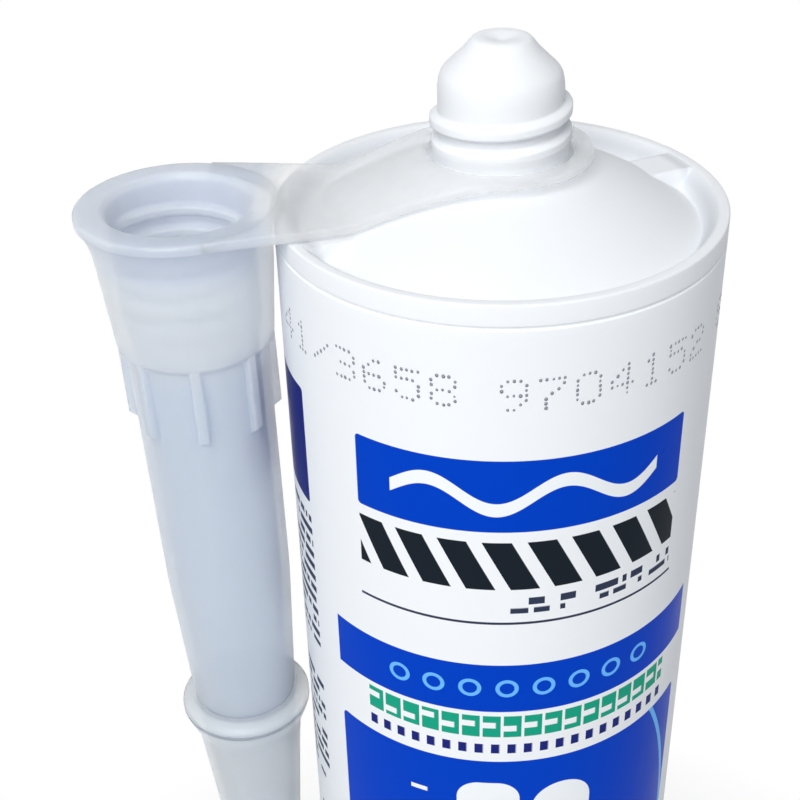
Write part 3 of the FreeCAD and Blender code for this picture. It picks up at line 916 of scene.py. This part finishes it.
class CartridgeLook(bpy.types.PropertyGroup):
    """Colours and finish of the barrel and its print."""

    plastic: bpy.props.FloatVectorProperty(
        name="Plastic", description="Barrel plastic", subtype="COLOR", default=rgb(240, 243, 247))
    roughness: bpy.props.FloatProperty(
        name="Roughness", description="Roughness of the barrel", default=0.36, min=0.05, max=1.0)
    blue: bpy.props.FloatVectorProperty(
        name="Blue", description="Main printed fields", subtype="COLOR", default=rgb(0, 64, 193))
    navy: bpy.props.FloatVectorProperty(
        name="Navy", description="Side header", subtype="COLOR", default=rgb(30, 40, 120))
    light: bpy.props.FloatVectorProperty(
        name="Light blue", description="Thin marks", subtype="COLOR", default=rgb(107, 184, 255))
    green: bpy.props.FloatVectorProperty(
        name="Green", description="Green row", subtype="COLOR", default=rgb(26, 160, 130))
    black: bpy.props.FloatVectorProperty(
        name="Black", description="Black row", subtype="COLOR", default=rgb(27, 35, 44))
    ink: bpy.props.FloatVectorProperty(
        name="Fine ink", description="Fine print", subtype="COLOR", default=rgb(52, 60, 84))
    white: bpy.props.FloatVectorProperty(
        name="White ink", description="White shapes", subtype="COLOR", default=rgb(240, 244, 248))
    # Colour of the painted shade at the foot of the dome.
    groove_shade: bpy.props.FloatVectorProperty(
        name="Groove", description="Foot of the dome", subtype="COLOR", default=rgb(192, 197, 204))
    label_turn: bpy.props.FloatProperty(
        name="Label turn", description="Direction that the front panel faces", subtype="ANGLE",
        default=math.radians(271))


class NozzleLook(bpy.types.PropertyGroup):
    """Colours and clearness of nozzle and cap."""

    tint: bpy.props.FloatVectorProperty(
        name="Nozzle", description="Milky nozzle plastic", subtype="COLOR",
        default=rgb(219, 231, 255))
    # A lighter copy of the nozzle's milky plastic: painted light against the shade of the cap's
    # double layer over the taper.
    cap_lit_tint: bpy.props.FloatVectorProperty(
        name="Cap", description="Milky cap plastic", subtype="COLOR", default=rgb(232, 242, 255))
    # Pale tint of the thin strap, which also carries painted light from the white dome under it;
    # the socket takes half of it.
    strap_pale_lit_tint: bpy.props.FloatVectorProperty(
        name="Strap", description="Thin strap plastic", subtype="COLOR", default=rgb(248, 250, 252))
    # Colour of the painted shade in the socket's mouth and over the flange.
    mouth_shade_tint: bpy.props.FloatVectorProperty(
        name="Mouth", description="Thick mouth plastic", subtype="COLOR",
        default=rgb(208, 217, 232))
    clear: bpy.props.FloatProperty(
        name="Clearness", description="How much shows through one skin", default=0.39,
        min=0.0, max=0.9)
    strap_clear: bpy.props.FloatProperty(
        name="Strap clearness", description="The same for the strap", default=0.72,
        min=0.0, max=0.9)
    roughness: bpy.props.FloatProperty(
        name="Roughness", description="Roughness of the nozzle", default=0.42, min=0.05, max=1.0)


class StudioSetup(bpy.types.PropertyGroup):
    """Camera place and lamps. Headings turn clockwise from +Y, seen from above."""

    eye: bpy.props.FloatVectorProperty(
        name="Camera place", description="Where the camera stands", subtype="TRANSLATION",
        unit="LENGTH", default=(-0.01948, -0.13864, RIM_Z * MM + 0.0625))
    heading: bpy.props.FloatProperty(
        name="Heading", description="Camera heading", subtype="ANGLE", default=math.radians(3.24))
    pitch: bpy.props.FloatProperty(
        name="Pitch", description="Camera tilt below level", subtype="ANGLE",
        default=math.radians(32.43))
    roll: bpy.props.FloatProperty(
        name="Roll", description="Camera roll", subtype="ANGLE", default=math.radians(1.66))
    focal: bpy.props.FloatProperty(
        name="Focal length", description="Lens in millimetres", default=36 * 1369 / 800)
    key_power: bpy.props.FloatProperty(
        name="Key", description="Power of the key lamp", unit="POWER", default=6.45)
    fill_power: bpy.props.FloatProperty(
        name="Fill", description="Power of the fill lamp", unit="POWER", default=0.2)
    sky: bpy.props.FloatProperty(
        name="Sky", description="Strength of the surrounding light", default=0.32, min=0.0)


class CARTRIDGE_OT_barrel(bpy.types.Operator):
    """Build the printed barrel with rim, dome, keys and threaded neck"""

    bl_idname = "cartridge.barrel"
    bl_label = "Barrel"

    def execute(self, context):
        look = context.scene.cartridge_look
        outline, key_rows = barrel_outline()
        angles = angles_with(272, KEY_ANGLES, math.radians(11), 44)
        piece = turned("barrel_shell", outline, angles, "tube", barrel_material(look),
                       barrel_shape(key_rows))
        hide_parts("barrel")
        return {"FINISHED"}


class CARTRIDGE_OT_batch_code(bpy.types.Operator):
    """Print two groups of plain dot figures under the front rim"""

    bl_idname = "cartridge.batch_code"
    bl_label = "Batch figures"

    def execute(self, context):
        look = context.scene.cartridge_look
        ink = plain_material("code_ink", rgb(150, 155, 166), 0.6, 900.0)
        groups = [code_spots("41/3658", -33.6, -8.3), code_spots("9704152 8", -3.4, -8.5)]
        ink_dots("batch_dots", np.concatenate(groups), look.label_turn, ink)
        return {"FINISHED"}


class CARTRIDGE_OT_piston(bpy.types.Operator):
    """Build the piston cup inside the rear of the barrel"""

    bl_idname = "cartridge.piston"
    bl_label = "Piston"

    def execute(self, context):
        material = plain_material("piston_plastic", rgb(226, 229, 232), 0.45, 500.0)
        angles = np.linspace(0, FULL, 192, endpoint=False)
        piece = turned("piston_cup", trace(PISTON), angles, "plunger", material)
        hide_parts("piston")
        return {"FINISHED"}


class CARTRIDGE_OT_sealant(bpy.types.Operator):
    """Build the sealant fill between the neck and the piston"""

    bl_idname = "cartridge.sealant"
    bl_label = "Sealant"

    def execute(self, context):
        head = DOME_FOOT_Z - HEAD_WALL - FILL_GAP
        top = bowed((FILL_NECK_R, DOME_TOP_Z - HEAD_WALL / 2 - FILL_GAP), (FILL_R, head),
                    DOME_BULGE, np.linspace(0, 1, 10))
        upper = trace([(0, NECK_INSIDE_Z - FILL_GAP, 0, 1), (1.9, NECK_INSIDE_Z - FILL_GAP, 0.2, 1),
                       (FILL_NECK_R, NECK_TAPER_Z, 0.3, 1), (FILL_NECK_R, top[0][1], 0, 3)])[:-1]
        lower = trace([(FILL_R, head, 0, 1), (FILL_R, 27.8, 0.1, 25), (22.6, 27.8, 0.1, 1),
                       (6, 31.8, 0.5, 3), (0, 31.8, 0, 2)])[1:]
        outline = np.concatenate([upper, top, lower])
        material = plain_material("sealant_paste", rgb(236, 236, 232), 0.3, 260.0)
        angles = np.linspace(0, FULL, 96, endpoint=False)
        piece = turned("sealant_fill", outline, angles, "tube", material)
        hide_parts("sealant")
        head * MM
        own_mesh(piece)
        return {"FINISHED"}


class CARTRIDGE_OT_nozzle(bpy.types.Operator):
    """Build the hanging nozzle with its flange, threaded socket, ribs and taper"""

    bl_idname = "cartridge.nozzle"
    bl_label = "Nozzle"

    def execute(self, context):
        look = context.scene.nozzle_look
        milky = milky_material("milky_plastic", look, look.tint)
        ribs = [RIB_PHASE + k * FULL / RIB_COUNT for k in range(RIB_COUNT)]
        angles = angles_with(128, ribs, math.radians(7), 20)
        body = turned("nozzle_body", nozzle_outline(), angles, "spout", milky,
                      nozzle_shape, hang, closed=True)
        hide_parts("nozzle")
        grid = strap_grid()
        faces = grid_faces(grid.shape[0], grid.shape[1], True).tolist()
        strap = mesh_piece("nozzle_strap", grid.reshape(-1, 3), faces, "spout", milky)
        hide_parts("nozzle")
        return {"FINISHED"}


class CARTRIDGE_OT_cap(bpy.types.Operator):
    """Build the beaded and fluted cap on the nozzle's tip"""

    bl_idname = "cartridge.cap"
    bl_label = "Nozzle cap"

    def execute(self, context):
        look = context.scene.nozzle_look
        # The cap's plastic is painted lighter than the nozzle's, as painted light.
        milky = milky_material("milky_cap", look, look.cap_lit_tint)
        angles = np.linspace(0, FULL, 240, endpoint=False)
        piece = turned("cap_shell", cap_outline(), angles, "spout_cap", milky, cap_shape, hang)
        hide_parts("nozzle_cap")
        return {"FINISHED"}


def seen_share(graph):
    """1 for rays that show the surface itself: from the camera, a gloss or a clear surface."""
    rays = graph.node("ShaderNodeLightPath")
    camera, glossy, clear = [Value(graph, rays.outputs[name]) for name in
                             ("Is Camera Ray", "Is Glossy Ray", "Is Transmission Ray")]
    return camera.most(glossy).most(clear)


def floor_material():
    """A pale floor that shows pure white away from the cartridge and keeps its shadow near it."""
    graph = Graph(bpy.data.materials.new("pale_floor"))
    _, (x, y, _) = object_place(graph)
    away = (distance(x, y) / 90.0 - 0.5).held()
    diffuse = graph.value("ShaderNodeBsdfDiffuse", {}, {"Color": rgb(246, 247, 249)})
    white = graph.value("ShaderNodeEmission", {}, {"Color": (1.0, 1.0, 1.0), "Strength": 1.0})
    shader = graph.value("ShaderNodeMixShader", {}, {
        0: seen_share(graph) * (away * 0.6 + 0.4), 1: diffuse, 2: white})
    return graph.finish(shader)


def area_lamp(name, place, aim, size, power, tint):
    """A square lamp at a place that faces an aim."""
    lamp = bpy.data.lights.new(name, "AREA")
    lamp.size = size
    lamp.energy = power
    lamp.color = tint
    holder = bpy.data.objects.new(name, lamp)
    bpy.context.scene.collection.objects.link(holder)
    holder.location = place
    holder.rotation_euler = (Vector(aim) - Vector(place)).to_track_quat("-Z", "Y").to_euler()


class CARTRIDGE_OT_studio(bpy.types.Operator):
    """Build the floor, the surrounding light, the lamps and the camera"""

    bl_idname = "cartridge.studio"
    bl_label = "Studio"

    def execute(self, context):
        setup = context.scene.studio_setup
        half = 3.0
        mesh = bpy.data.meshes.new("floor")
        mesh.from_pydata([(-half, -half, 0), (half, -half, 0), (half, half, 0), (-half, half, 0)],
                         [], [(0, 1, 2, 3)])
        mesh.materials.append(floor_material())
        floor = bpy.data.objects.new("floor", mesh)
        context.scene.collection.objects.link(floor)
        self.world(context, setup)
        aim = (-0.01, 0.0, 0.19)
        area_lamp("key", (-0.22, -0.56, 0.8), aim, 0.5, setup.key_power, (1.0, 0.99, 0.97))
        area_lamp("fill", (-0.6, 0.1, 0.5), aim, 0.6, setup.fill_power, (0.92, 0.96, 1.0))
        self.camera(context, setup)
        context.scene.view_settings.view_transform = "Standard"
        return {"FINISHED"}

    def world(self, context, setup):
        """Soft light all round, seen as white."""
        world = bpy.data.worlds.new("studio")
        context.scene.world = world
        graph = Graph(world)
        soft = graph.value("ShaderNodeBackground", {}, {
            "Color": (0.93, 0.965, 1.0), "Strength": setup.sky})
        white = graph.value("ShaderNodeBackground", {}, {"Color": (1.0, 1.0, 1.0), "Strength": 1.0})
        both = graph.value("ShaderNodeMixShader", {}, {0: seen_share(graph), 1: soft, 2: white})
        graph.node("ShaderNodeOutputWorld", {}, {"Surface": both})

    def camera(self, context, setup):
        """A camera with the heading, pitch and roll that the setup gives."""
        camera = bpy.data.cameras.new("camera")
        camera.lens = setup.focal
        camera.sensor_width = 36
        camera.clip_start = 0.01
        holder = bpy.data.objects.new("camera", camera)
        context.scene.collection.objects.link(holder)
        heading, pitch, roll = setup.heading, setup.pitch, setup.roll
        ahead = Vector((math.sin(heading) * math.cos(pitch), math.cos(heading) * math.cos(pitch),
                        -math.sin(pitch)))
        level = Vector((math.cos(heading), -math.sin(heading), 0))
        down = ahead.cross(level)
        right = level * math.cos(roll) + down * math.sin(roll)
        under = down * math.cos(roll) - level * math.sin(roll)
        turn = Matrix((right, -under, -ahead)).transposed()
        holder.matrix_world = Matrix.Translation(setup.eye) @ turn.to_4x4()
        context.scene.camera = holder


class CARTRIDGE_PT_panel(bpy.types.Panel):
    """Sidebar panel that lists the pieces and their settings"""

    bl_label = "Sealant Cartridge"
    bl_idname = "CARTRIDGE_PT_panel"
    bl_space_type = "VIEW_3D"
    bl_region_type = "UI"
    bl_category = "Cartridge"

    def draw(self, context):
        for operator in OPERATORS:
            self.layout.operator(operator.bl_idname)
        for group in ("cartridge_look", "nozzle_look", "studio_setup"):
            settings = getattr(context.scene, group)
            box = self.layout.box()
            for name in settings.__annotations__:
                box.prop(settings, name)


OPERATORS = (
    CARTRIDGE_OT_barrel,
    CARTRIDGE_OT_batch_code,
    CARTRIDGE_OT_piston,
    CARTRIDGE_OT_sealant,
    CARTRIDGE_OT_nozzle,
    CARTRIDGE_OT_cap,
    CARTRIDGE_OT_studio,
)
GROUPS = {"cartridge_look": CartridgeLook, "nozzle_look": NozzleLook, "studio_setup": StudioSetup}


def register():
    """Register the classes and hang the settings on the scene."""
    for made in (*GROUPS.values(), *OPERATORS, CARTRIDGE_PT_panel):
        bpy.utils.register_class(made)
    for name, group in GROUPS.items():
        setattr(bpy.types.Scene, name, bpy.props.PointerProperty(type=group))


def unregister():
    """Take the settings and the classes away again."""
    for name in GROUPS:
        delattr(bpy.types.Scene, name)
    for made in (CARTRIDGE_PT_panel, *reversed(OPERATORS), *GROUPS.values()):
        bpy.utils.unregister_class(made)


def main():
    """Build every piece and the studio."""
    register()
    bpy.ops.cartridge.barrel()
    bpy.ops.cartridge.batch_code()
    bpy.ops.cartridge.piston()
    bpy.ops.cartridge.sealant()
    bpy.ops.cartridge.nozzle()
    bpy.ops.cartridge.cap()
    bpy.ops.cartridge.studio()


if __name__ == "__main__":
    main()
